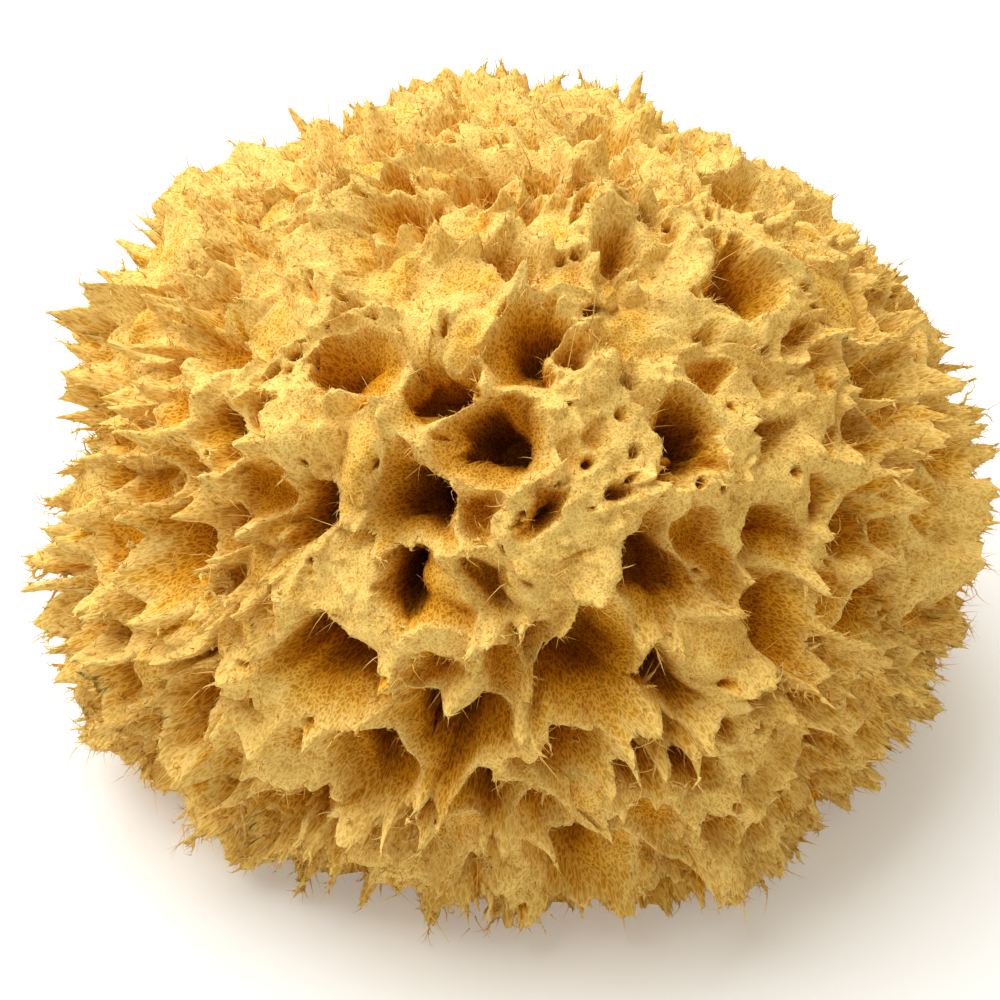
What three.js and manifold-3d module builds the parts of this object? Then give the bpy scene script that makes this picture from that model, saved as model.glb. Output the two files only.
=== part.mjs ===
// A natural honeycomb bath sponge, grown as one piece: a rounded lump whose whole skin is a network
// of pits, with a pointed tuft at every corner between them, cut flat where it left the rock.
// Millimetres, +Z up, the front towards -Y. The origin is on the cut, under the middle of the sponge.

import * as THREE from "three";
import { ConvexHull } from "three/addons/math/ConvexHull.js";
import { mergeVertices } from "three/addons/utils/BufferGeometryUtils.js";
import Module from "manifold-3d";

// Driving dimensions of the lump, measured to the crests and without the tufts that stand on them
const HALF_WIDTH = 68;
const HALF_DEPTH = 67;
const HALF_HEIGHT = 61;
const CUT_BELOW_MIDDLE = 34;

// Broad bulges and dents of the lump: azimuth from the front towards +X and elevation in degrees,
// the angle that each spreads over, and its height
const BULGES = [
  { azimuth: -114, elevation: 26, spread: 26, height: 4 },
  { azimuth: -68, elevation: -18, spread: 26, height: 6 },
  { azimuth: 28, elevation: -26, spread: 18, height: 4 },
  { azimuth: 88, elevation: 2, spread: 20, height: 3 },
  { azimuth: 138, elevation: 40, spread: 26, height: -4 },
  { azimuth: -150, elevation: 8, spread: 24, height: 3 },
  { azimuth: 165, elevation: -12, spread: 22, height: -2 },
  { azimuth: 0, elevation: 30, spread: 24, height: -1 },
];

// Knobs: the clumps of tufts, spread over the whole lump
const KNOB_COUNT = 46;
const KNOB_SPREAD = 8;
const KNOB_HEIGHT = { least: 0.5, most: 3.5 };

// The wide canals that open on the front, the side that shows best: where each mouth looks, in
// degrees, its width and how far it goes in
const FRONT_CANALS = [
  { azimuth: -10, elevation: 8, mouth: 15, depth: 30 },
  { azimuth: -4, elevation: -3, mouth: 10, depth: 26 },
  { azimuth: -15, elevation: 25, mouth: 9, depth: 22 },
  { azimuth: -16, elevation: 38, mouth: 11, depth: 22 },
  { azimuth: -6, elevation: 48, mouth: 9, depth: 20 },
  { azimuth: 5, elevation: 60, mouth: 10, depth: 17 },
  { azimuth: 6, elevation: 37, mouth: 6, depth: 14 },
  { azimuth: -35, elevation: 32, mouth: 8, depth: 16 },
  { azimuth: -54, elevation: 36, mouth: 9, depth: 12 },
  { azimuth: -54, elevation: 18, mouth: 7, depth: 10 },
  { azimuth: -26, elevation: 15, mouth: 13, depth: 17 },
  { azimuth: 29, elevation: 43, mouth: 11, depth: 17 },
  { azimuth: 20, elevation: 27, mouth: 11, depth: 16 },
  { azimuth: 9, elevation: 17, mouth: 14, depth: 15 },
  { azimuth: 20, elevation: 13, mouth: 7, depth: 14 },
  { azimuth: 21, elevation: 0, mouth: 8, depth: 13 },
  { azimuth: 75, elevation: 31, mouth: 10, depth: 12 },
  { azimuth: 54, elevation: 22, mouth: 8, depth: 13 },
  { azimuth: 51, elevation: 11, mouth: 8, depth: 11 },
  { azimuth: 68, elevation: 56, mouth: 10, depth: 12 },
  { azimuth: 79, elevation: 44, mouth: 8, depth: 11 },
  { azimuth: -19, elevation: 2, mouth: 8, depth: 18 },
  { azimuth: -17, elevation: 54, mouth: 10, depth: 12 },
  { azimuth: -46, elevation: 67, mouth: 10, depth: 10 },
  { azimuth: -40, elevation: 50, mouth: 10, depth: 10 },
  { azimuth: 33, elevation: 58, mouth: 10, depth: 11 },
  { azimuth: 8, elevation: -15, mouth: 11, depth: 12 },
  { azimuth: -28, elevation: -6, mouth: 11, depth: 14 },
  { azimuth: 70, elevation: 15, mouth: 12, depth: 12 },
  { azimuth: 41, elevation: 27, mouth: 10, depth: 9 },
  { azimuth: 35, elevation: 17, mouth: 10, depth: 9 },
  { azimuth: -113, elevation: 57, mouth: 8, depth: 9 },
];

// The canals of the far side, spaced evenly by a golden spiral
const FAR_CANAL_COUNT = 80;
const FAR_CANAL_LOWEST = -42;
const FAR_CANAL_CLEAR_OF_FRONT = 22;
const FAR_CANAL_MOUTH = { least: 7, most: 13 };
const FAR_CANAL_DEPTH = { least: 9, most: 24 };

// The root canals that run up from the cut, wound outwards on it from its middle
const ROOT_CANAL_COUNT = 24;
const ROOT_CANAL_REACH = 40;
const ROOT_CANAL_MOUTH = 13;
const ROOT_CANAL_DEPTH = { least: 33, most: 48 };

// A canal this deep has steep walls, which close in by a share of its half width
// while they drop by a share of its depth
const STEEP_DEPTH = 14;
const WALL_CLOSES_IN = 0.32;
const WALL_DROPS = 0.72;

// The small pits between the canals
const PIT_COUNT = 740;
const PIT_LOWEST_ELEVATION = -50;
const PIT_WANDER = 2.4;
const PIT_MOUTH = { least: 5, most: 8 };
const PIT_DEPTH = { least: 3.5, most: 8.5 };

// The web between two pits sags below the crest, and a tuft stands above it at each corner
const WEB_SAG = { least: 0, most: 3.2 };
const TUFT_HEIGHT = { least: 1, most: 5.5 };

const SEED = 41;
const CUTTER_SIDE = 400;
const STRAW_YELLOW = 0xd7a74c;

const GOLDEN_ANGLE = Math.PI * (3 - Math.sqrt(5));
const { degToRad, seededRandom, lerp } = THREE.MathUtils;
seededRandom(SEED);

const between = ({ least, most }) => lerp(least, most, seededRandom());

// The unit vector that looks out at an azimuth and an elevation
function lookingOut({ azimuth, elevation }) {
  const rise = degToRad(elevation);
  const turn = degToRad(azimuth);
  const level = Math.cos(rise);
  return new THREE.Vector3(level * Math.sin(turn), -level * Math.cos(turn), Math.sin(rise));
}

// The nth of count unit vectors on a golden spiral, which winds down the unit ball between two heights
function onSpiral(n, count, highest = 1, lowest = -1) {
  const z = lerp(highest, lowest, (n + 0.5) / count);
  const ring = Math.sqrt(1 - z * z);
  return new THREE.Vector3(ring * Math.cos(n * GOLDEN_ANGLE), ring * Math.sin(n * GOLDEN_ANGLE), z);
}

function makeKnobs() {
  return Array.from({ length: KNOB_COUNT }, (_, n) => ({
    out: onSpiral(n, KNOB_COUNT),
    spread: KNOB_SPREAD,
    height: between(KNOB_HEIGHT),
  }));
}

const bumps = [...BULGES.map((bulge) => ({ ...bulge, out: lookingOut(bulge) })), ...makeKnobs()];

// Distance from the lump's middle to its crests: an ellipsoid with a bell-shaped rise at each bump
function crestRadius(out) {
  const ellipsoid = 1 / Math.hypot(out.x / HALF_WIDTH, out.y / HALF_DEPTH, out.z / HALF_HEIGHT);
  const rise = (bump) => bump.height * Math.exp(-((out.angleTo(bump.out) / degToRad(bump.spread)) ** 2));
  return bumps.reduce((sum, bump) => sum + rise(bump), ellipsoid);
}

// A canal or pit: the way its mouth looks out, half its mouth's width and its depth
function makePit(out, mouth, depth) {
  return { out, half: mouth / 2, depth };
}

const gapTo = (out, pit) => out.angleTo(pit.out) * crestRadius(out);

function makeCanals() {
  const front = FRONT_CANALS.map((canal) => makePit(lookingOut(canal), canal.mouth, canal.depth));
  const roots = Array.from({ length: ROOT_CANAL_COUNT }, (_, n) => {
    const reach = ROOT_CANAL_REACH * Math.sqrt((n + 0.5) / ROOT_CANAL_COUNT);
    const turn = n * GOLDEN_ANGLE;
    const out = new THREE.Vector3(reach * Math.cos(turn), reach * Math.sin(turn), -CUT_BELOW_MIDDLE);
    return makePit(out.normalize(), ROOT_CANAL_MOUTH, between(ROOT_CANAL_DEPTH));
  });
  const lowest = Math.sin(degToRad(FAR_CANAL_LOWEST));
  const far = Array.from({ length: FAR_CANAL_COUNT }, (_, n) => onSpiral(n, FAR_CANAL_COUNT, 1, lowest))
    .filter((out) => front.every((canal) => gapTo(out, canal) > FAR_CANAL_CLEAR_OF_FRONT))
    .map((out) => makePit(out, between(FAR_CANAL_MOUTH), between(FAR_CANAL_DEPTH)));
  return [...front, ...far, ...roots];
}

// The small pits fill the skin that the canals leave, a little off the even spiral
function makePits(canals) {
  const lowest = Math.sin(degToRad(PIT_LOWEST_ELEVATION));
  const wander = () => ((seededRandom() - 0.5) * PIT_WANDER) / HALF_HEIGHT;
  return Array.from({ length: PIT_COUNT }, (_, n) => onSpiral(n, PIT_COUNT, 1, lowest))
    .map((out) => out.add(new THREE.Vector3(wander(), wander(), wander())).normalize())
    .map((out) => makePit(out, between(PIT_MOUTH), between(PIT_DEPTH)))
    .filter((pit) => canals.every((canal) => gapTo(pit.out, canal) > canal.half + pit.half));
}

// The hull of the pits' outward vectors joins each pit to its neighbours by triangles. Splitting each of
// those at its corners' web points and at its own tuft gives the skin: pits low, webs high, tufts highest.
function honeycombSkin(pits) {
  const outs = [];
  const places = [];
  const corners = [];
  const indexOf = new Map();
  const pitOf = new Map(pits.map((pit) => [pit.out, pit]));
  const numberOf = new Map(pits.map((pit, n) => [pit, n]));

  // The index of the vertex with this key, made on first use at a lift above the crest
  function vertex(key, out, lift) {
    if (!indexOf.has(key)) {
      indexOf.set(key, outs.length);
      outs.push(out);
      places.push(...out.clone().multiplyScalar(crestRadius(out) + lift()));
    }
    return indexOf.get(key);
  }
  // Where the mouths of some pits meet, nearer to the narrow ones
  const meeting = (some) =>
    some.reduce((sum, pit) => sum.addScaledVector(pit.out, 1 / pit.half), new THREE.Vector3()).normalize();
  const floor = (pit) => vertex(pit, pit.out, () => -pit.depth);
  const webKey = (...ends) => "web" + ends.map((pit) => numberOf.get(pit)).sort((m, n) => m - n).join("_");
  const web = (a, b) => vertex(webKey(a, b), meeting([a, b]), () => -between(WEB_SAG));
  const wall = (pit, rim) => {
    const out = outs[rim].clone().lerp(pit.out, WALL_CLOSES_IN).normalize();
    return vertex(`wall${numberOf.get(pit)}_${rim}`, out, () => -pit.depth * WALL_DROPS);
  };

  // One sector of a pit, from two points on its rim down to its floor
  function sector(pit, rimA, rimB) {
    if (pit.depth < STEEP_DEPTH) {
      corners.push(floor(pit), rimA, rimB);
      return;
    }
    const wallA = wall(pit, rimA);
    const wallB = wall(pit, rimB);
    corners.push(wallA, rimA, rimB, wallA, rimB, wallB, floor(pit), wallA, wallB);
  }

  for (const face of new ConvexHull().setFromPoints(pits.map((pit) => pit.out)).faces) {
    const three = [0, 1, 2].map((n) => pitOf.get(face.getEdge(n).head().point));
    const tuft = vertex(face, meeting(three), () => between(TUFT_HEIGHT));
    three.forEach((pit, n) => {
      const next = three[(n + 1) % 3];
      sector(pit, web(pit, next), tuft);
      sector(next, tuft, web(pit, next));
    });
  }
  return new THREE.BufferGeometry()
    .setAttribute("position", new THREE.Float32BufferAttribute(places, 3))
    .setIndex(corners);
}

const wasm = await Module();
wasm.setup();

// A closed geometry as a solid that can be cut
function solidOf(geometry) {
  const bare = new THREE.BufferGeometry().setAttribute("position", geometry.getAttribute("position"));
  const merged = mergeVertices(bare.setIndex(geometry.index));
  return new wasm.Manifold(
    new wasm.Mesh({
      numProp: 3,
      vertProperties: merged.getAttribute("position").array,
      triVerts: new Uint32Array(merged.index.array),
    }),
  );
}

function geometryOf(solid) {
  const { vertProperties, triVerts } = solid.getMesh();
  return new THREE.BufferGeometry()
    .setAttribute("position", new THREE.BufferAttribute(vertProperties, 3))
    .setIndex(new THREE.BufferAttribute(triVerts, 1));
}

// The skin's closed solid, keeping only what stands above the cut
function cutFromRock(skin) {
  const raised = solidOf(skin.translate(0, 0, CUT_BELOW_MIDDLE));
  const cube = new THREE.BoxGeometry(CUTTER_SIDE, CUTTER_SIDE, CUTTER_SIDE);
  return geometryOf(raised.intersect(solidOf(cube.translate(0, 0, CUTTER_SIDE / 2))));
}

function centredOnOrigin(geometry) {
  geometry.computeBoundingBox();
  const middle = geometry.boundingBox.getCenter(new THREE.Vector3());
  return geometry.translate(-middle.x, -middle.y, 0);
}

const canals = makeCanals();
const skin = honeycombSkin([...canals, ...makePits(canals)]);
const sponge = new THREE.Mesh(
  centredOnOrigin(cutFromRock(skin)),
  new THREE.MeshStandardMaterial({ color: STRAW_YELLOW, roughness: 1, metalness: 0, flatShading: true }),
);
sponge.name = "sponge";

const part = new THREE.Group();
part.add(sponge);
export default part;
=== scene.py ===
"""A natural honeycomb bath sponge in its finish: felted skin, ragged points and loose fibres.

Sizes are in millimetres until something is made of them. Every shape is worked out as whole
arrays: the skin as a distance from the lump's middle over a grid of directions, the points and fibres
as tapering profiles carried along curved paths that start on the skin.
"""

import math

import bpy
import numpy as np
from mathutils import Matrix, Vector


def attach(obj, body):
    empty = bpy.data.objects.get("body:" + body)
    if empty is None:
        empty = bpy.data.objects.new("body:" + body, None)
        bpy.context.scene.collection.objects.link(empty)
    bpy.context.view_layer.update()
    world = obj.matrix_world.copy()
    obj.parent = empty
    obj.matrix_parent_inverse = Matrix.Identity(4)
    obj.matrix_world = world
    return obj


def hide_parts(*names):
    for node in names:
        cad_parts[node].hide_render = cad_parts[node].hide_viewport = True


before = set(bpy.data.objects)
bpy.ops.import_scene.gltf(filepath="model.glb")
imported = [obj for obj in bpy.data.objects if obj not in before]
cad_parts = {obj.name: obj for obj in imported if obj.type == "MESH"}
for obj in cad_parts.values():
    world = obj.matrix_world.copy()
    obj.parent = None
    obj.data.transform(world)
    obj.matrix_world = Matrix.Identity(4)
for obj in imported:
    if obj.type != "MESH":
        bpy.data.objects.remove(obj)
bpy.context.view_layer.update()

MM = 0.001
NODE = "sponge"
BODY = "root"
SEED = 41
TINY = 1e-12

# The lump: its canals all point at a middle this far above the cut
MIDDLE = np.array([0.0, 0.0, 34.0])
MEAN_REACH = 66.0
CREST_SPREAD = 6.0
TUFT_RISE = 3.4
CUT_MARGIN = 1.0
RIM_TIPS = 5

# Heights on the ball of directions: where the tufted top starts and is full, and where the undercut
# flanks are full and end
TOP_FROM, TOP_FULL = 0.55, 0.85
LOW_FULL, LOW_TO = -0.2, 0.3

# The grid of directions: squares along one edge of the cube that is drawn out to a ball, the way
# that it is drawn together towards and how much, and how many directions are worked out at a time
GRID_SIDE = 188
GRID_FOCUS = np.array([0.0, -0.6, 0.8])
GRID_DRAW = 0.74
CHUNK = 8192

# A smooth normal is turned back to its square's own where the cosine between them is under this
NORMAL_KEEP = 0.7

# Noise is given in rows of height, size and layer
BENDS = ((1.6, 6.0, 1), (0.7, 2.4, 4))
LUMPS = ((1.9, 12.0, 10), (0.9, 4.5, 11), (0.5, 1.8, 12))
LEANS = ((2.2, 10.0, 25),)
SWAYS = ((2.4, 13.0, 15), (1.2, 5.0, 18))

# Height over the cut at which leaning and swaying are free
FREE_HEIGHT = 14.0

# How broad the webs are: 0 for thin and 1 for broad, from place to place
BROAD_MEAN = 0.28
BROAD_ON_TOP = 0.2
BROAD_LESS_LOW = 0.3
BROAD_ON_PLATEAU = 0.7
BROAD_WAVES = ((0.9, 15.0, 7), (0.35, 5.0, 8))

# The webs between pits, thin and broad: half their thickness, their sag and the rise of their corners
WEB_HALF = (0.25, 2.6)
WEB_SHARE = 0.55
WEB_SAG = 4.2
CORNER_RISE = 4.6
CORNER_SHARE = 0.3
CORNER_CURVE = 1.3
CORNER_UNEVEN = (0.35, 1.25)
CORNER_WAVES = ((1.0, 4.0, 9),)
CORNER_LESS_BROAD = 0.6
CORNER_LESS_TOP = 0.75
RISE_FADE = 2

# The pits: a round mouth as a share of their half width, for thin and broad webs, a wall over most
# of the way in, a bowl this deep at most, and below it a shaft between two shares of the way in
MOUTH_SHARE = (0.92, 0.66)
MOUTH_WAVES = ((0.24, 2.6, 24), (0.13, 1.2, 31))
WALL_SHARE = 0.8
BOWL_DEPTH = 9.0
BOWL_CURVE = 2.6
DEPTH_SHARE = 1.2
LEAST_DEPTH = 7.0
LOW_EXTRA = 5.0
WIDER = 0.2
SHAFT_FROM = 0.3
SHAFT_TO = 0.66
SHAFT_WAVES = ((0.22, 3.6, 20),)
# The depth at which the felt's painted shade is darkest
DEPTH_OF_DARKEST_SHADE = 12.0

# Some pits are felted over: their share on the flanks and on top, how deep they may have been, and
# what depth is left
FILLED_SHARE = (0.07, 0.5)
FILLED_DEEPEST = 14.4
FILLED_DEPTH = 2.0

# Broad felted plateaus on the front: degrees round from the front and up, and half their width
PLATEAUS = (
    (5, 32, 14.0),
    (-41, 42, 9.0),
    (-26, 27, 9.0),
    (36, 34, 11.0),
    (13, 49, 8.0),
    (25, 19, 7.0),
    (-38, 11, 7.0),
)
PLATEAU_STEEPNESS = 1.6

# Small ragged points, pores and tufts in the skin itself: how far apart they are, how high or deep,
# half their width as a share of that distance, and the layer of noise that scatters them
RAG_SIZE = 2.3
RAG_HEIGHT = 2.3
RAG_HALF = 0.5
RAG_CURVE = 1.4
RAG_RARITY = 1.5
RAG_LAYER = 21
PORE_SIZE = 3.2
PORE_DEPTH = 2.6
PORE_HALF = 0.36
PORE_WALL = 0.12
PORE_REACH = 1 / 3
# Pores count this many times deeper in the felt's colour: painted shade in them
PORE_PAINTED_SHADE = 2.5
PORE_LAYER = 13
TUFT_SIZE = 6.0
TUFT_HEIGHT = 4.0
TUFT_HALF = 0.55
TUFT_CURVE = 1.2
TUFT_LAYER = 29
TUFT_WAVES = ((1.5, 3.0, 32),)
FINE_FADE = 3

# One block of random values that all the noise is read from
random = np.random.default_rng(SEED)
NOISE_SIDE = 64
NOISE = random.uniform(-1, 1, (NOISE_SIDE,) * 3)
NOISE_STEP = np.array([17.3, 29.7, 41.9])


def drift(points, size, layer):
    """Smooth noise about -1 to 1: random values at the corners of cubes of this size, each cube's
    eight faded into each other along every axis by 3t^2 - 2t^3. Another layer is another noise."""
    scaled = points / size + layer * NOISE_STEP
    cell = np.floor(scaled).astype(int)
    part = ease(scaled - cell)
    total = np.zeros(len(points))
    for corner in np.ndindex(2, 2, 2):
        x, y, z = ((cell + corner) % NOISE_SIDE).T
        total += np.where(corner, part, 1 - part).prod(axis=1) * NOISE[x, y, z]
    return total


def drift3(points, size, layer):
    """Three layers of smooth noise as the parts of a vector."""
    return np.stack([drift(points, size, layer + n) for n in range(3)], axis=1)


def waves(points, rows, noise=drift):
    """Noise of several sizes added up."""
    return sum(height * noise(points, size, layer) for height, size, layer in rows)


def scatter(points, size, layer):
    """Distance to the nearest of scattered places, one in each cube of this size, as a share of that
    size, and a random value from 0 to 1 that belongs to the place."""
    scaled = points / size + layer * NOISE_STEP
    cell = np.floor(scaled).astype(int)
    nearest = np.full(len(points), np.inf)
    value = np.zeros(len(points))
    for step in np.ndindex(3, 3, 3):
        beside = cell + np.array(step) - 1
        x, y, z = (beside % NOISE_SIDE).T
        jitter = np.stack([NOISE[x, y, z], NOISE[y, z, x], NOISE[z, x, y]], axis=1)
        distance = ((scaled - beside - 0.5 - 0.5 * jitter) ** 2).sum(axis=1)
        value = np.where(distance < nearest, 0.5 + 0.5 * NOISE[y, x, z], value)
        nearest = np.minimum(nearest, distance)
    return np.sqrt(nearest), value


def unit(vectors):
    return vectors / (np.linalg.norm(vectors, axis=-1, keepdims=True) + TINY)


def ease(share):
    """0 to 1 as the share goes from 0 to 1, level at both ends."""
    share = np.clip(share, 0, 1)
    return share * share * (3 - 2 * share)


def between(ends, share):
    """From the first of two values to the second as the share goes from 0 to 1."""
    return ends[0] + (ends[1] - ends[0]) * share


def cone(distance, half, curve):
    """1 at no distance, falling to 0 at half the width, as a power that draws out the tip."""
    return np.clip(1 - distance / half, 0, 1) ** curve


def read_solid():
    """The solid's tips and pit floors, seen from the middle: a tip is further out than every corner
    that it shares an edge with, and a floor is further in."""
    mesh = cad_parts[NODE].data
    places = np.empty(len(mesh.vertices) * 3, np.float32)
    mesh.vertices.foreach_get("co", places)
    corners = np.empty(len(mesh.loops), np.int32)
    mesh.loops.foreach_get("vertex_index", corners)
    merged, same = np.unique(places.reshape(-1, 3).round(5), axis=0, return_inverse=True)
    triangles = same.ravel()[corners].reshape(-1, 3)
    from_middle = merged / MM - MIDDLE
    reach = np.linalg.norm(from_middle, axis=1)
    highest = np.zeros(len(reach))
    lowest = np.full(len(reach), np.inf)
    for a, b in ((0, 1), (1, 2), (2, 0)):
        np.maximum.at(highest, triangles[:, a], reach[triangles[:, b]])
        np.minimum.at(lowest, triangles[:, a], reach[triangles[:, b]])
    above = from_middle[:, 2] + MIDDLE[2] > CUT_MARGIN
    return from_middle[(reach > highest) & above], from_middle[(reach < lowest) & above]


tips, floors = read_solid()
tip_out, tip_reach = unit(tips), np.linalg.norm(tips, axis=1)
pit_out, pit_reach = unit(floors), np.linalg.norm(floors, axis=1)


def gap(out, others):
    """Distance over the lump's skin from each direction to each of the others, as a chord."""
    cosine = np.clip(out @ others.T, -1, 1)
    return MEAN_REACH * np.sqrt(2 - 2 * cosine)


def crest_reach(out):
    """How far out the crests stand: the mean of the tips around, weighted by a bell curve of their
    distance, less the rise of a tip over the crest."""
    weight = np.exp(-0.5 * (gap(out, tip_out) / CREST_SPREAD) ** 2) + TINY
    return weight @ tip_reach / weight.sum(axis=1) - TUFT_RISE


def on_top(out):
    """1 on the lump's tufted top, 0 from half way down its flanks."""
    return ease((out[:, 2] - TOP_FROM) / (TOP_FULL - TOP_FROM))


def low_down(out):
    """1 on the lump's undercut flanks, 0 from a little above its middle."""
    return 1 - ease((out[:, 2] - LOW_FULL) / (LOW_TO - LOW_FULL))


def facing(azimuth, elevation):
    """The direction this many degrees round from the front, to the right, and up."""
    turn, lift = math.radians(azimuth), math.radians(elevation)
    return math.cos(lift) * math.sin(turn), -math.cos(lift) * math.cos(turn), math.sin(lift)


plateau_out = np.array([facing(azimuth, elevation) for azimuth, elevation, _ in PLATEAUS])
plateau_half = np.array([half for _, _, half in PLATEAUS])


def on_plateau(out):
    """1 on a plateau, 0 from its edge on."""
    return ease(PLATEAU_STEEPNESS * (1 - gap(out, plateau_out) / plateau_half).max(axis=1))


pit_depth = np.maximum(DEPTH_SHARE * (crest_reach(pit_out) - pit_reach), LEAST_DEPTH)
pit_depth += LOW_EXTRA * low_down(pit_out)
pit_half = np.sort(gap(pit_out, tip_out), axis=1)[:, :RIM_TIPS].mean(axis=1)
pit_half *= 1 + WIDER * ease((pit_depth - BOWL_DEPTH) / BOWL_DEPTH)
fill_chance = between(FILLED_SHARE, on_top(pit_out)) + on_plateau(pit_out)
filled = (random.random(len(pit_depth)) < fill_chance) & (pit_depth < FILLED_DEEPEST)
pit_depth = np.where(filled, np.minimum(pit_depth, FILLED_DEPTH), pit_depth)


def nearest_pits(out):
    """The three shortest distances to pits, each over its pit's half width, and the nearest pit."""
    distance = gap(out, pit_out) / pit_half
    three = np.sort(np.partition(distance, 2, axis=1)[:, :3], axis=1)
    return three.T, distance.argmin(axis=1)


def in_chunks(function, out):
    """A function of many directions, worked out on some thousands of them at a time."""
    pieces = [function(out[n : n + CHUNK]) for n in range(0, len(out), CHUNK)]
    if isinstance(pieces[0], tuple):
        return tuple(np.concatenate(part, axis=-1) for part in zip(*pieces))
    return np.concatenate(pieces)


def skin(out):
    """The skin over a set of directions. A direction's three nearest pits say how far it is from the
    web between two of them and from the corner between three. Inside the web's half thickness the
    skin is at the crest, sagging between corners, drawn up at them and broken into small points and
    pores. Beyond it the wall drops as a bowl, 1 - (1 - x)^n, and in a deep pit as a shaft from the
    bowl. Drifting noise bends the whole. Points past the cut come back to it along their own
    direction."""
    across = out * MEAN_REACH
    bent = unit(across + waves(across, BENDS, drift3))
    crest = in_chunks(crest_reach, out)
    (near, second, third), which = in_chunks(nearest_pits, bent)
    half, depth = pit_half[which], pit_depth[which]
    to_web = 0.5 * (second - near) * half
    to_corner = 0.5 * (third - near) * half
    room = 0.5 * (second + near) * half

    top = on_top(out)
    lie = BROAD_MEAN + BROAD_ON_TOP * top - BROAD_LESS_LOW * low_down(out)
    lie += BROAD_ON_PLATEAU * on_plateau(out)
    broad = ease(lie + waves(across, BROAD_WAVES))
    web = np.minimum(between(WEB_HALF, broad), WEB_SHARE * room)
    mouth = between(MOUTH_SHARE, broad) * half * (1 + waves(across, MOUTH_WAVES))
    to_wall = np.minimum(to_web - web, mouth - near * half)
    inside = np.clip(to_wall / (WALL_SHARE * np.minimum(mouth, room)), 0, 1)

    bowl = np.minimum(depth, BOWL_DEPTH) * (1 - (1 - inside) ** BOWL_CURVE)
    way_in = inside + waves(across, SHAFT_WAVES)
    shaft = np.maximum(depth - BOWL_DEPTH, 0) * ease((way_in - SHAFT_FROM) / (SHAFT_TO - SHAFT_FROM))

    peak = np.clip(1 - (third - near) / (third + near) / CORNER_SHARE, 0, 1)
    uneven = between(CORNER_UNEVEN, ease(0.5 + waves(across, CORNER_WAVES)))
    corner = CORNER_RISE * peak**CORNER_CURVE * uneven
    corner *= (1 - CORNER_LESS_BROAD * broad) * (1 - CORNER_LESS_TOP * top)
    tuft_gap, tuft_value = scatter(across + waves(across, TUFT_WAVES, drift3), TUFT_SIZE, TUFT_LAYER)
    tuft = TUFT_HEIGHT * top * tuft_value * cone(tuft_gap, TUFT_HALF, TUFT_CURVE)
    sag = WEB_SAG * (1 - peak) * (1 - broad)
    rag_gap, rag_value = scatter(across, RAG_SIZE, RAG_LAYER)
    rag = RAG_HEIGHT * rag_value**RAG_RARITY * cone(rag_gap, RAG_HALF, RAG_CURVE)
    pore_gap, pore_value = scatter(across, PORE_SIZE, PORE_LAYER)
    pore = PORE_DEPTH * ease((PORE_HALF * pore_value - pore_gap) / PORE_WALL)
    pore *= ease(1 - inside / PORE_REACH)

    rise = (corner + tuft - sag) * (1 - inside) ** RISE_FADE
    fine = (rag - pore) * (1 - inside) ** FINE_FADE
    reach = crest - bowl - shaft + rise + fine + waves(across, LUMPS)
    place = MIDDLE + out * reach[:, None]
    free = ease(place[:, 2] / FREE_HEIGHT)[:, None]
    lean = waves(across, LEANS, drift3) * (1 - inside)[:, None]
    place = place + free * (lean + waves(place, SWAYS, drift3))
    below = place[:, 2] < 0
    from_middle = place[below] - MIDDLE
    place[below] = MIDDLE + from_middle * (MIDDLE[2] / -from_middle[:, 2])[:, None]
    place[below, 2] = 0.0
    # How deep the skin lies, 0 on the crest to 1 deep in a pit, with pores counted deeper: the felt paints
    # shade by it
    deep = np.clip((bowl + shaft + PORE_PAINTED_SHADE * pore) / DEPTH_OF_DARKEST_SHADE, 0, 1)
    return place, deep, to_wall, to_corner


def ball_grid(side):
    """Unit directions over a cube drawn out to a ball, six square grids at even angles whose shared
    edges are merged, and the four corners of each square, running round as seen from outside."""
    angle = np.tan(np.linspace(-math.pi / 4, math.pi / 4, side + 1))
    u, v = np.meshgrid(angle, angle, indexing="ij")
    sheet = np.stack([u.ravel(), v.ravel(), np.ones(u.size)], axis=1)
    index = np.arange(u.size).reshape(u.shape)
    around = [index[:-1, :-1], index[1:, :-1], index[1:, 1:], index[:-1, 1:]]
    square = np.stack(around, axis=-1).reshape(-1, 4)
    sheets, squares = [], []
    for face in range(6):
        outer = sheet if face < 3 else sheet * [1, 1, -1]
        sheets.append(np.roll(outer, face % 3, axis=1))
        squares.append((square if face < 3 else square[:, ::-1]) + face * u.size)
    merged, same = np.unique(np.concatenate(sheets).round(9), axis=0, return_inverse=True)
    return unit(merged), same.ravel()[np.concatenate(squares)]


def drawn_together(out):
    """Directions drawn together towards the focus, where the skin is seen most: the tangent of half
    the angle from it is scaled down, which keeps small squares square."""
    along = (out @ GRID_FOCUS)[:, None]
    across = out - along * GRID_FOCUS
    scaled = GRID_DRAW**2 * (1 - along)
    return unit((1 + along - scaled) * GRID_FOCUS + 2 * GRID_DRAW * across)


def square_normals(places, squares):
    """Each square's diagonals crossed: its normal, with twice its area as length."""
    first = places[squares[:, 2]] - places[squares[:, 0]]
    return np.cross(first, places[squares[:, 3]] - places[squares[:, 1]])


def gather(values, squares, count):
    """The sum at each point of the values of the squares around it."""
    total = np.zeros((count, values.shape[1]))
    for corner in range(4):
        np.add.at(total, squares[:, corner], values)
    return total


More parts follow.
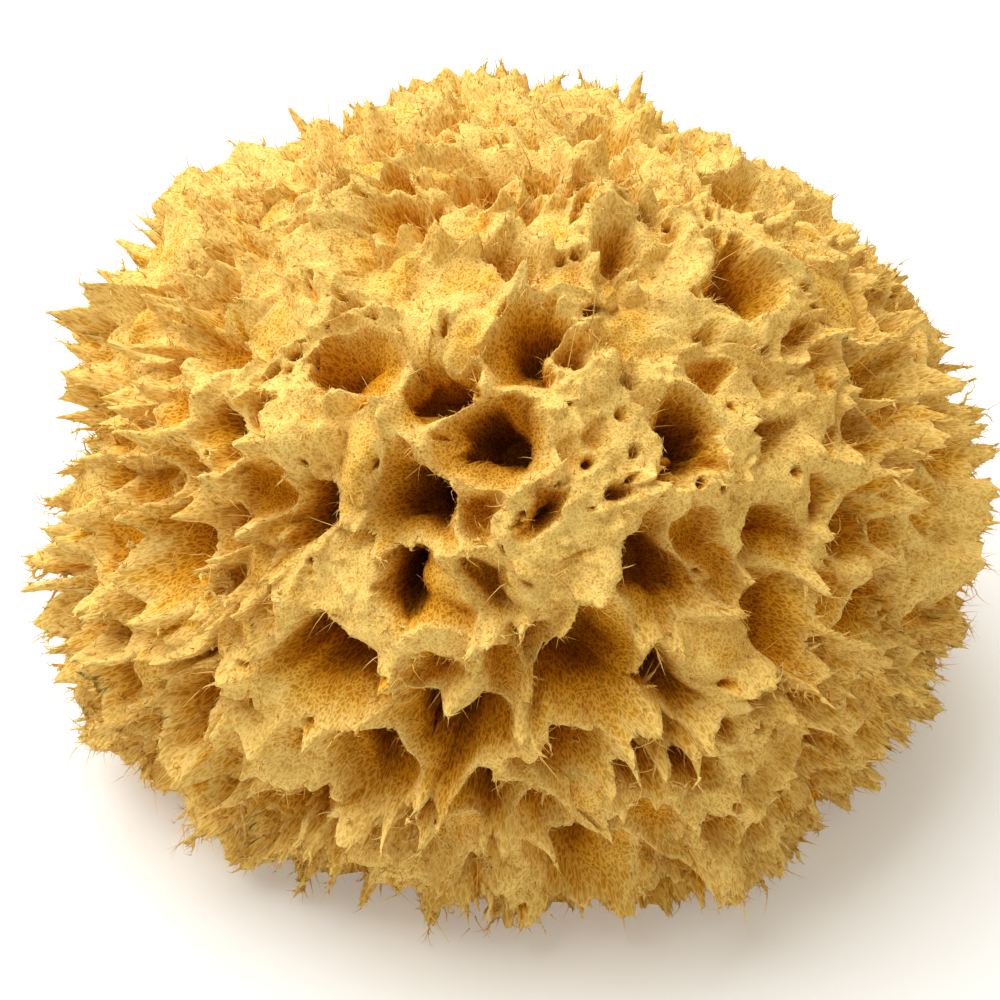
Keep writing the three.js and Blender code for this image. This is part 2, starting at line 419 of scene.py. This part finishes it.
def make_piece(name, places, faces, material, uv, **values):
    """A mesh object from points, faces with the same number of corners, a place on the baked map for
    each corner and values for each point. It rides on the body and stands for the solid."""
    mesh = bpy.data.meshes.new(name)
    mesh.vertices.add(len(places))
    mesh.vertices.foreach_set("co", (places * MM).astype(np.float32).ravel())
    mesh.loops.add(faces.size)
    mesh.loops.foreach_set("vertex_index", faces.astype(np.int32).ravel())
    mesh.polygons.add(len(faces))
    mesh.polygons.foreach_set("loop_start", np.arange(0, faces.size, faces.shape[1], dtype=np.int32))
    mesh.update(calc_edges=True)
    mesh.shade_smooth()
    mesh.uv_layers.new(name="OFBake").uv.foreach_set("vector", uv.astype(np.float32).ravel())
    for key, value in values.items():
        mesh.attributes.new(key, "FLOAT", "POINT").data.foreach_set("value", value.astype(np.float32))
    mesh.materials.append(material)
    piece = bpy.data.objects.new(name, mesh)
    bpy.context.scene.collection.objects.link(piece)
    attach(piece, BODY)
    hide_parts(NODE)
    return piece


def part_of_skin(name, squares, uv, normals, material):
    """One piece of the skin: the points that its squares use, with the normals of the whole skin so
    that no line shows where two pieces meet. A normal far off a square's own is turned back to it."""
    used, index = np.unique(squares, return_inverse=True)
    faces = index.reshape(squares.shape)
    piece = make_piece(name, skin_place[used], faces, material, uv[squares], deep=skin_deep[used])
    corner_normal = normals[squares]
    face_normal = unit(square_normals(skin_place, squares))[:, None]
    along_face = (corner_normal * face_normal).sum(axis=2, keepdims=True)
    turned = unit(corner_normal + np.maximum(NORMAL_KEEP - along_face, 0) * face_normal)
    piece.data.normals_split_custom_set(turned.reshape(-1, 3))
    return piece


# The map of a half ball stretches no further than this past its edge
MAP_PAST_EDGE = -0.6


def half_map(out, side):
    """A half ball flattened at true areas onto a disc that fills the unit square."""
    away = out[:, [0, 2]] / np.sqrt(1 + np.maximum(out[:, [1]] * side, MAP_PAST_EDGE))
    return 0.5 + away / (2 * math.sqrt(2))


# Threads: the power that they taper by, the height over the cut that they keep, and the margins of
# the map and of a thread's own cell on it
TAPER = 0.7
LEAST_HEIGHT = 0.15
MAP_MARGIN = 0.02
CELL_MARGIN = 0.1


def threads(root, along, bend, length, width, rings, sides, tone, knots=0.0):
    """Many tapering threads at once: a ring of some sides carried along root + length (along t +
    bend t^2), narrowing as a power of 1 - t to a closed tip. Knots shift and swell the rings. The map
    holds a thread's tone across and t up. Gives the points, the triangles, the map's places and
    the rings' centres."""
    count = len(root)
    t = np.arange(rings + 1) / rings
    path = along[:, None] * t[:, None] + bend[:, None] * t[:, None] ** 2
    path += knots / rings * random.normal(size=path.shape) * (t > 0)[:, None]
    centre = root[:, None] + length[:, None, None] * path
    beside = unit(np.cross(along, random.normal(size=(count, 3))))
    above = np.cross(along, beside)
    angle = np.arange(sides) * 2 * math.pi / sides
    ring = beside[:, None] * np.cos(angle)[:, None] + above[:, None] * np.sin(angle)[:, None]
    swell = 1 + 2 * knots * random.uniform(-1, 1, (count, rings))
    half = width[:, None] * (1 - t[:-1]) ** TAPER * swell
    walls = centre[:, :-1, None] + half[:, :, None, None] * ring[:, None]
    places = np.concatenate([walls.reshape(count, -1, 3), centre[:, -1:]], axis=1)
    places[..., 2] = np.maximum(places[..., 2], LEAST_HEIGHT)

    low = np.arange((rings - 1) * sides).reshape(rings - 1, sides)
    turn = np.roll(low, -1, axis=1)
    wall = np.stack([low, turn, turn + sides, low, turn + sides, low + sides], axis=-1).reshape(-1, 3)
    last = (rings - 1) * sides + np.arange(sides)
    tip = np.stack([last, np.roll(last, -1), np.full(sides, rings * sides)], axis=1)
    fan = np.stack([np.zeros(sides - 2, int), np.arange(2, sides), np.arange(1, sides - 1)], axis=1)
    one = np.concatenate([wall, tip, fan])
    per_thread = rings * sides + 1
    faces = (one + np.arange(count)[:, None, None] * per_thread).reshape(-1, 3)
    up = np.append(np.repeat(t[:-1], sides), 1.0)
    uv = np.stack([np.repeat(tone, per_thread), np.tile(up, count)], axis=1)
    uv = between((MAP_MARGIN, 1 - MAP_MARGIN), uv)
    return places.reshape(-1, 3), faces, uv[faces], centre


def own_cells(faces, rings, sides):
    """A cell of the map for each thread, its sides across and its length up, so that a pattern that
    follows the place in space can be baked."""
    per_thread = rings * sides + 1
    thread, corner = np.divmod(faces, per_thread)
    across = np.where(corner == rings * sides, np.roll(corner, 1, axis=1), corner) % sides
    across = np.where((across == 0) & (across.max(axis=1, keepdims=True) == sides - 1), sides, across)
    across_row = math.ceil(math.sqrt(thread.max() + 1))
    inner = (CELL_MARGIN, 1 - CELL_MARGIN)
    u = thread % across_row + between(inner, across / sides)
    v = thread // across_row + between(inner, corner // sides / rings)
    return np.stack([u, v], axis=-1) / across_row


def pick(weight, count):
    """Some of the skin's points, drawn by weight and without repeats."""
    return random.choice(len(weight), count, replace=False, p=weight / weight.sum())


def sway(count, size):
    """A random push for each thread."""
    return size * random.normal(size=(count, 3))


# Materials: colours in parts of 255, each at its place from crest to depth or from dull to pale
# The felt's colours from crest to depth are painted shade: darker and more orange the deeper in a pit
FELT_SHADES = (
    (0.0, (241, 208, 126)),
    (0.1, (237, 194, 92)),
    (0.27, (226, 164, 36)),
    (0.5, (202, 134, 10)),
    (1.0, (160, 96, 3)),
)
FIBRE_ROOT_SHADES = ((0.0, (176, 106, 10)), (0.5, (218, 162, 64)), (1.0, (236, 196, 112)))
FIBRE_TIP_SHADES = ((0.0, (198, 132, 28)), (0.5, (232, 184, 90)), (1.0, (248, 216, 140)))

# A dry surface, and how far the felt's patterns are drawn out along the way from the middle
ROUGHNESS = 0.95
SHINE = 0.12
COMB = 0.35

# The felt: the scales of its noises, in lumps to a metre, and how far each shifts or shades it. A
# tone is a factor on the blotched depth of the skin and an addition to it
WANDER_SCALE = 900.0
WANDER_SHIFT = 1.3
BLOTCH_SCALE = 190.0
BLOTCH_SHARE = 0.3
STRAND_TONE = (0.6, -0.03)
# Gaps between strands sit further along the colours than the strands: painted shade in them
GAP_SHADE_TONE = (1.05, 0.11)
STRAND_SCALE = 1200.0
STRAND_WIDTH = 0.24
GRAIN_SCALE = 2600.0
GRAIN_SHARE = 0.5
FELT_RANGE = (0.15, 1.2)
# The colour is scaled from painted shade in the gaps between strands to a slight painted highlight on them
FELT_PAINTED_LIGHT = (0.82, 1.03)
BUMP_STRENGTH = 0.5
BUMP_HEIGHT = 0.3

# Where a colour mix has its two colours among its inputs, and the mixed one among its outputs
MIX_FIRST, MIX_SECOND, MIX_RESULT = 6, 7, 2


def add_node(tree, kind, inputs=(), **settings):
    """A shader node with its settings, each input either a value or another node's output."""
    made = tree.nodes.new("ShaderNode" + kind)
    for key, value in settings.items():
        setattr(made, key, value)
    for key, value in dict(inputs).items():
        if isinstance(value, bpy.types.NodeSocket):
            tree.links.new(value, made.inputs[key])
        else:
            made.inputs[key].default_value = value
    return made


def linear(shade):
    """An sRGB colour in parts of 255 as linear light."""
    parts = [value / 255 for value in shade]
    lights = [part / 12.92 if part <= 0.04045 else ((part + 0.055) / 1.055) ** 2.4 for part in parts]
    return (*lights, 1.0)


def color_ramp(tree, factor, stops):
    """Colours blended along a factor: each stop is its place and its sRGB colour."""
    made = add_node(tree, "ValToRGB", {"Fac": factor})
    elements = made.color_ramp.elements
    for n, (place, shade) in enumerate(stops):
        element = elements[n] if n < len(elements) else elements.new(place)
        element.position = place
        element.color = linear(shade)
    return made.outputs["Color"]


def mix_colors(tree, factor, first, second):
    """The first colour at 0 and the second at 1."""
    inputs = {"Factor": factor, MIX_FIRST: first, MIX_SECOND: second}
    return add_node(tree, "Mix", inputs, data_type="RGBA").outputs[MIX_RESULT]


def new_material(name):
    material = bpy.data.materials.new(name)
    material.use_nodes = True
    material.node_tree.nodes.clear()
    return material, material.node_tree


def finish_material(tree, color, normal=None):
    """A dry matt surface, ended in the material's output."""
    inputs = {"Base Color": color, "Roughness": ROUGHNESS, "Specular IOR Level": SHINE}
    if normal is not None:
        inputs["Normal"] = normal
    shader = add_node(tree, "BsdfPrincipled", inputs)
    add_node(tree, "OutputMaterial", {"Surface": shader.outputs["BSDF"]})


def combed_place(tree):
    """Object coordinates drawn out along the way from the middle, so that patterns run up the walls."""
    place = add_node(tree, "TexCoord").outputs["Object"]
    middle = [value * MM for value in MIDDLE]
    from_middle = add_node(tree, "VectorMath", {0: place, 1: middle}, operation="SUBTRACT").outputs[0]
    out = add_node(tree, "VectorMath", {0: from_middle}, operation="NORMALIZE").outputs[0]
    across = add_node(tree, "VectorMath", {0: out, "Scale": MEAN_REACH * MM}, operation="SCALE").outputs[0]
    along = add_node(tree, "VectorMath", {0: from_middle, "Scale": COMB}, operation="SCALE").outputs[0]
    return add_node(tree, "VectorMath", {0: across, 1: along}, operation="ADD").outputs[0]


def wandering(tree, place):
    """Coordinates that noise shifts to and fro, so that what follows them has crooked lines."""
    noise = add_node(tree, "TexNoise", {"Vector": place, "Scale": WANDER_SCALE, "Detail": 1.0})
    inputs = {0: noise.outputs["Color"], 1: (WANDER_SHIFT * MM,) * 3, 2: place}
    return add_node(tree, "VectorMath", inputs, operation="MULTIPLY_ADD").outputs[0]


def strands(tree, place, scale, width):
    """A net of strands: near 1 along the edges between scattered cells, 0 in the gaps."""
    cells = add_node(tree, "TexVoronoi", {"Vector": place, "Scale": scale}, feature="DISTANCE_TO_EDGE")
    inputs = {"Value": cells.outputs["Distance"], "From Min": 0.0, "From Max": width}
    inputs.update({"To Min": 1.0, "To Max": 0.0})
    return add_node(tree, "MapRange", inputs, interpolation_type="SMOOTHSTEP").outputs[0]


def scale_and_add(tree, value, factor, addition):
    """A value times a factor plus an addition."""
    return add_node(tree, "Math", {0: value, 1: factor, 2: addition}, operation="MULTIPLY_ADD").outputs[0]


def skin_material():
    """Felt: straw on the crests, then gold and brown with depth as painted shade in the pits, blotched,
    with a net of fine strands over gaps darkened with painted shade."""
    material, tree = new_material("felt")
    deep = add_node(tree, "Attribute", attribute_name="deep").outputs["Fac"]
    place = combed_place(tree)
    blotch = add_node(tree, "TexNoise", {"Vector": place, "Scale": BLOTCH_SCALE, "Detail": 1.0})
    shifted = add_node(tree, "Math", {0: blotch.outputs["Fac"], 1: -0.5}, operation="ADD").outputs[0]
    spread = scale_and_add(tree, shifted, BLOTCH_SHARE, deep)
    strand_shade = color_ramp(tree, scale_and_add(tree, spread, *STRAND_TONE), FELT_SHADES)
    # Gaps take a darker colour than strands: painted shade between them
    gap_shaded_color = color_ramp(tree, scale_and_add(tree, spread, *GAP_SHADE_TONE), FELT_SHADES)
    net = strands(tree, wandering(tree, place), STRAND_SCALE, STRAND_WIDTH)
    noise = add_node(tree, "TexNoise", {"Vector": place, "Scale": GRAIN_SCALE, "Detail": 0.0})
    grain = noise.outputs["Fac"]
    height = scale_and_add(tree, grain, GRAIN_SHARE, net)
    low, high = FELT_RANGE
    share = add_node(tree, "MapRange", {"Value": height, "From Min": low, "From Max": high}).outputs[0]
    color = mix_colors(tree, share, gap_shaded_color, strand_shade)
    # Painted shade in the gaps and a slight painted highlight on the strands
    dark, bright = FELT_PAINTED_LIGHT
    light = add_node(tree, "MapRange", {"Value": share, "To Min": dark, "To Max": bright}).outputs[0]
    toned = add_node(tree, "VectorMath", {0: color, "Scale": light}, operation="SCALE").outputs[0]
    relief = {"Height": grain, "Strength": BUMP_STRENGTH, "Distance": BUMP_HEIGHT * MM}
    finish_material(tree, toned, add_node(tree, "Bump", relief).outputs["Normal"])
    return material


def thread_material():
    """Horny fibre: its tone across the map from dull to pale, and a gold root up to a pale tip."""
    material, tree = new_material("fibre")
    uv = add_node(tree, "UVMap", uv_map="OFBake").outputs["UV"]
    parts = add_node(tree, "SeparateXYZ", {0: uv})
    root = color_ramp(tree, parts.outputs[0], FIBRE_ROOT_SHADES)
    tip = color_ramp(tree, parts.outputs[0], FIBRE_TIP_SHADES)
    finish_material(tree, mix_colors(tree, parts.outputs[1], root, tip))
    return material


felt, fibre = skin_material(), thread_material()

# The skin: front, back and cut face
grid_out, grid_squares = ball_grid(GRID_SIDE)
grid_out = drawn_together(grid_out)
skin_place, skin_deep, skin_to_wall, skin_to_corner = skin(grid_out)

on_cut = (skin_place[grid_squares, 2] <= 0).all(axis=1)
middle_y = skin_place[grid_squares, 1].mean(axis=1)
in_front = middle_y < np.median(middle_y[~on_cut])
crossed = square_normals(skin_place, grid_squares[~on_cut])
skin_normal = unit(gather(crossed, grid_squares[~on_cut], len(grid_out)))
# Half a normal's length is its square's area, and each corner has a quarter of that
corner_area = np.linalg.norm(crossed, axis=1, keepdims=True) / 8
skin_area = gather(corner_area, grid_squares[~on_cut], len(grid_out))[:, 0]

CUT_MAP_WIDTH = 170.0
cut_uv = 0.5 + skin_place[:, :2] / CUT_MAP_WIDTH
cut_normal = np.tile([0.0, 0.0, -1.0], (len(grid_out), 1))
part_of_skin("sponge_front", grid_squares[~on_cut & in_front], half_map(grid_out, -1), skin_normal, felt)
part_of_skin("sponge_back", grid_squares[~on_cut & ~in_front], half_map(grid_out, 1), skin_normal, felt)
part_of_skin("sponge_cut", grid_squares[on_cut], cut_uv, cut_normal, felt)

# Threads stand at least this far above the cut, and on rims within about this distance of the wall
THREADS_FROM = 2.0
RIM_HALF = 0.6
RIM_DEEPEST = 0.25
above_cut = skin_place[:, 2] > THREADS_FROM
outward = unit(skin_place - MIDDLE)
on_rim = np.exp(-np.abs(skin_to_wall) / RIM_HALF) * (skin_deep < RIM_DEEPEST)

# Points: ragged horns that stand on the webs' corners and rims. Lengths are the least and the gamma
# spread over it, widths the least and the share of the length, and patches a row of noise
POINT_COUNT = 5400
POINT_PRONGS = 2
POINT_RINGS, POINT_SIDES = 4, 4
POINT_ON_CORNERS, POINT_ON_RIMS = 1.6, 0.5
POINT_CORNER_HALF = 0.7
POINT_OUTWARD, POINT_UPRIGHT = 0.9, 0.6
POINT_SPLAY = 0.32
POINT_BEND = 0.28
POINT_KNOTS = 0.18
POINT_LEAST_LENGTH, POINT_SPREAD = 0.5, (2.5, 0.38)
POINT_PATCHES = ((0.7, 14.0, 28),)
POINT_LESS_TOP = 0.4
POINT_LEAST_WIDTH, POINT_WIDTH_SHARE = 0.14, 0.11
POINT_WIDTH_RANGE = (0.7, 1.3)


def points_piece():
    """Ragged horns on the webs' corners and rims, in splayed pairs."""
    on_corner = np.exp(-skin_to_corner / POINT_CORNER_HALF)
    weight = above_cut * skin_area * (POINT_ON_CORNERS * on_corner + POINT_ON_RIMS * on_rim)
    chosen = np.repeat(pick(weight, POINT_COUNT // POINT_PRONGS), POINT_PRONGS)
    lead = POINT_OUTWARD * outward[chosen] + POINT_UPRIGHT * skin_normal[chosen]
    along = unit(lead + sway(POINT_COUNT, POINT_SPLAY))
    length = POINT_LEAST_LENGTH + random.gamma(*POINT_SPREAD, POINT_COUNT)
    length *= 1 + waves(skin_place[chosen], POINT_PATCHES)
    length *= 1 - POINT_LESS_TOP * on_top(outward[chosen])
    width = POINT_LEAST_WIDTH + POINT_WIDTH_SHARE * length * random.uniform(*POINT_WIDTH_RANGE, POINT_COUNT)
    root = skin_place[chosen] - along * width[:, None]
    tone = random.random(POINT_COUNT)
    bend = sway(POINT_COUNT, POINT_BEND)
    counts = (POINT_RINGS, POINT_SIDES)
    places, faces, _, centre = threads(root, along, bend, length, width, *counts, tone, POINT_KNOTS)
    uv = own_cells(faces, POINT_RINGS, POINT_SIDES)
    make_piece("sponge_points", places, faces, felt, uv, deep=np.zeros(len(places)))
    return centre, along


point_centre, point_along = points_piece()

# Fuzz: loose bent fibres that stand out of the crests and fray the points
FUZZ_ON_SKIN = 6000
FUZZ_ON_POINTS = 6200
FUZZ_RINGS, FUZZ_SIDES = 3, 3
FUZZ_FROM_RING = 2
FUZZ_RIM_HALF = 0.8
FUZZ_DEEPEST = 0.3
FUZZ_OUTWARD, FUZZ_UPRIGHT = 0.8, 0.5
FUZZ_SPLAY = 0.5
FUZZ_BEND = 0.6
FUZZ_LEAST_LENGTH, FUZZ_SPREAD = 0.5, (2.5, 0.45)
FUZZ_LONGEST = 3.0
FUZZ_PATCHES = ((0.6, 14.0, 28),)
FUZZ_WIDTH = (0.07, 0.14)
FUZZ_TONE = (0.55, 1.0)

# How deep a fibre's root is sunk
ROOT_DEPTH = 0.1


def fuzz_piece():
    """Loose curled fibres, on the crests and out of the points."""
    near_crest = np.exp(-np.maximum(skin_to_wall, 0) / FUZZ_RIM_HALF) * (skin_deep < FUZZ_DEEPEST)
    chosen = pick(above_cut * skin_area * near_crest, FUZZ_ON_SKIN)
    which = random.integers(0, POINT_COUNT, FUZZ_ON_POINTS)
    ring = random.integers(FUZZ_FROM_RING, POINT_RINGS + 1, FUZZ_ON_POINTS)
    root = np.concatenate([skin_place[chosen], point_centre[which, ring]])
    off_skin = FUZZ_OUTWARD * outward[chosen] + FUZZ_UPRIGHT * skin_normal[chosen]
    lead = np.concatenate([off_skin, point_along[which]])
    count = len(root)
    along = unit(lead + sway(count, FUZZ_SPLAY))
    length = FUZZ_LEAST_LENGTH + random.gamma(*FUZZ_SPREAD, count)
    length = np.minimum(length * (1 + waves(root, FUZZ_PATCHES)), FUZZ_LONGEST)
    width = random.uniform(*FUZZ_WIDTH, count)
    tone = random.uniform(*FUZZ_TONE, count)
    root -= ROOT_DEPTH * along
    bend = sway(count, FUZZ_BEND)
    places, faces, uv, _ = threads(root, along, bend, length, width, FUZZ_RINGS, FUZZ_SIDES, tone)
    make_piece("sponge_fuzz", places, faces, fibre, uv)


# Mat: short straight fibres that lie along the walls and crests
MAT_COUNT = 48000
MAT_RINGS, MAT_SIDES = 1, 3
MAT_ON_CREST = 1.05
MAT_TURN = 0.7
MAT_OUTWARD = 0.5
MAT_LIFT = (0.1, 0.6)
MAT_LEAST_LENGTH, MAT_SPREAD = 0.6, (2.5, 0.3)
MAT_WIDTH = (0.05, 0.09)
MAT_SHIFT = 0.1
MAT_TONE = (0.45, 1.0)
# How much a fibre's tone drops with the skin's depth: painted shade in the pits
MAT_SHADE_BY_DEPTH = 1.1


def mat_piece():
    """Short fibres that lie on the skin, combed outwards."""
    weight = above_cut * skin_area * (MAT_ON_CREST - skin_deep)
    chosen = pick(weight, MAT_COUNT)
    normal = skin_normal[chosen]
    lying = sway(MAT_COUNT, MAT_TURN) + MAT_OUTWARD * outward[chosen]
    lying = unit(lying - normal * (lying * normal).sum(axis=1, keepdims=True))
    along = unit(lying + random.uniform(*MAT_LIFT, (MAT_COUNT, 1)) * normal)
    length = MAT_LEAST_LENGTH + random.gamma(*MAT_SPREAD, MAT_COUNT)
    width = random.uniform(*MAT_WIDTH, MAT_COUNT)
    root = skin_place[chosen] + sway(MAT_COUNT, MAT_SHIFT) - ROOT_DEPTH * along
    # Fibres lower in a pit take a duller tone: painted shade by the skin's depth
    tone = np.clip(random.uniform(*MAT_TONE, MAT_COUNT) - MAT_SHADE_BY_DEPTH * skin_deep[chosen], 0, 1)
    straight = np.zeros_like(along)
    places, faces, uv, _ = threads(root, along, straight, length, width, MAT_RINGS, MAT_SIDES, tone)
    make_piece("sponge_mat", places, faces, fibre, uv)


fuzz_piece()
mat_piece()

# The stage: a pale floor, an even fill and a soft key light
FLOOR_HALF = 3000.0
FLOOR_BELOW = 0.2
FLOOR_SHADE = (0.78, 0.8, 0.84, 1.0)
FLOOR_GLOW = 0.2
FILL = 0.55
FILL_SHADE = (1.0, 0.9, 0.66, 1.0)
KEY_PLACE = (-420, 350, 950)
KEY_SIZE = 1500
KEY_POWER = 22.0


def make_floor():
    mesh = bpy.data.meshes.new("floor")
    around = ((-1, -1), (1, -1), (1, 1), (-1, 1))
    corners = [(x * FLOOR_HALF * MM, y * FLOOR_HALF * MM, -FLOOR_BELOW * MM) for x, y in around]
    mesh.from_pydata(corners, [], [(0, 1, 2, 3)])
    material, tree = new_material("paper")
    inputs = {"Base Color": FLOOR_SHADE, "Roughness": 1.0, "Specular IOR Level": 0.0}
    inputs.update({"Emission Color": (1.0, 1.0, 1.0, 1.0), "Emission Strength": FLOOR_GLOW})
    shader = add_node(tree, "BsdfPrincipled", inputs)
    add_node(tree, "OutputMaterial", {"Surface": shader.outputs["BSDF"]})
    mesh.materials.append(material)
    floor = bpy.data.objects.new("floor", mesh)
    bpy.context.scene.collection.objects.link(floor)


def make_lights():
    world = bpy.data.worlds.new("studio")
    world.use_nodes = True
    world.node_tree.nodes["Background"].inputs["Color"].default_value = FILL_SHADE
    world.node_tree.nodes["Background"].inputs["Strength"].default_value = FILL
    bpy.context.scene.world = world
    light = bpy.data.lights.new("key", "AREA")
    light.size = KEY_SIZE * MM
    light.energy = KEY_POWER
    lamp = bpy.data.objects.new("key", light)
    lamp.location = [value * MM for value in KEY_PLACE]
    aim = Vector(MIDDLE * MM) - lamp.location
    lamp.rotation_euler = aim.to_track_quat("-Z", "Y").to_euler()
    bpy.context.scene.collection.objects.link(lamp)


# The camera: in front and above, with the lump's middle at a pixel of the picture
CAMERA_RISE = math.radians(40)
CAMERA_AWAY = 520.0
PICTURE_WIDTH = 156.2
PICTURE_PIXELS = 1000
MIDDLE_PIXEL = (522, 492)
SENSOR_WIDTH = 36.0
CLIP_START = 10.0


def make_camera():
    data = bpy.data.cameras.new("camera")
    data.sensor_width = SENSOR_WIDTH
    data.lens = SENSOR_WIDTH * CAMERA_AWAY / PICTURE_WIDTH
    data.shift_x = (PICTURE_PIXELS / 2 - MIDDLE_PIXEL[0]) / PICTURE_PIXELS
    data.shift_y = (MIDDLE_PIXEL[1] - PICTURE_PIXELS / 2) / PICTURE_PIXELS
    data.clip_start = CLIP_START * MM
    camera = bpy.data.objects.new("camera", data)
    back = np.array([0.0, -math.cos(CAMERA_RISE), math.sin(CAMERA_RISE)])
    camera.location = (MIDDLE + back * CAMERA_AWAY) * MM
    camera.rotation_euler = (math.pi / 2 - CAMERA_RISE, 0.0, 0.0)
    bpy.context.scene.collection.objects.link(camera)
    bpy.context.scene.camera = camera
    bpy.context.scene.view_settings.view_transform = "Standard"


make_floor()
make_lights()
make_camera()
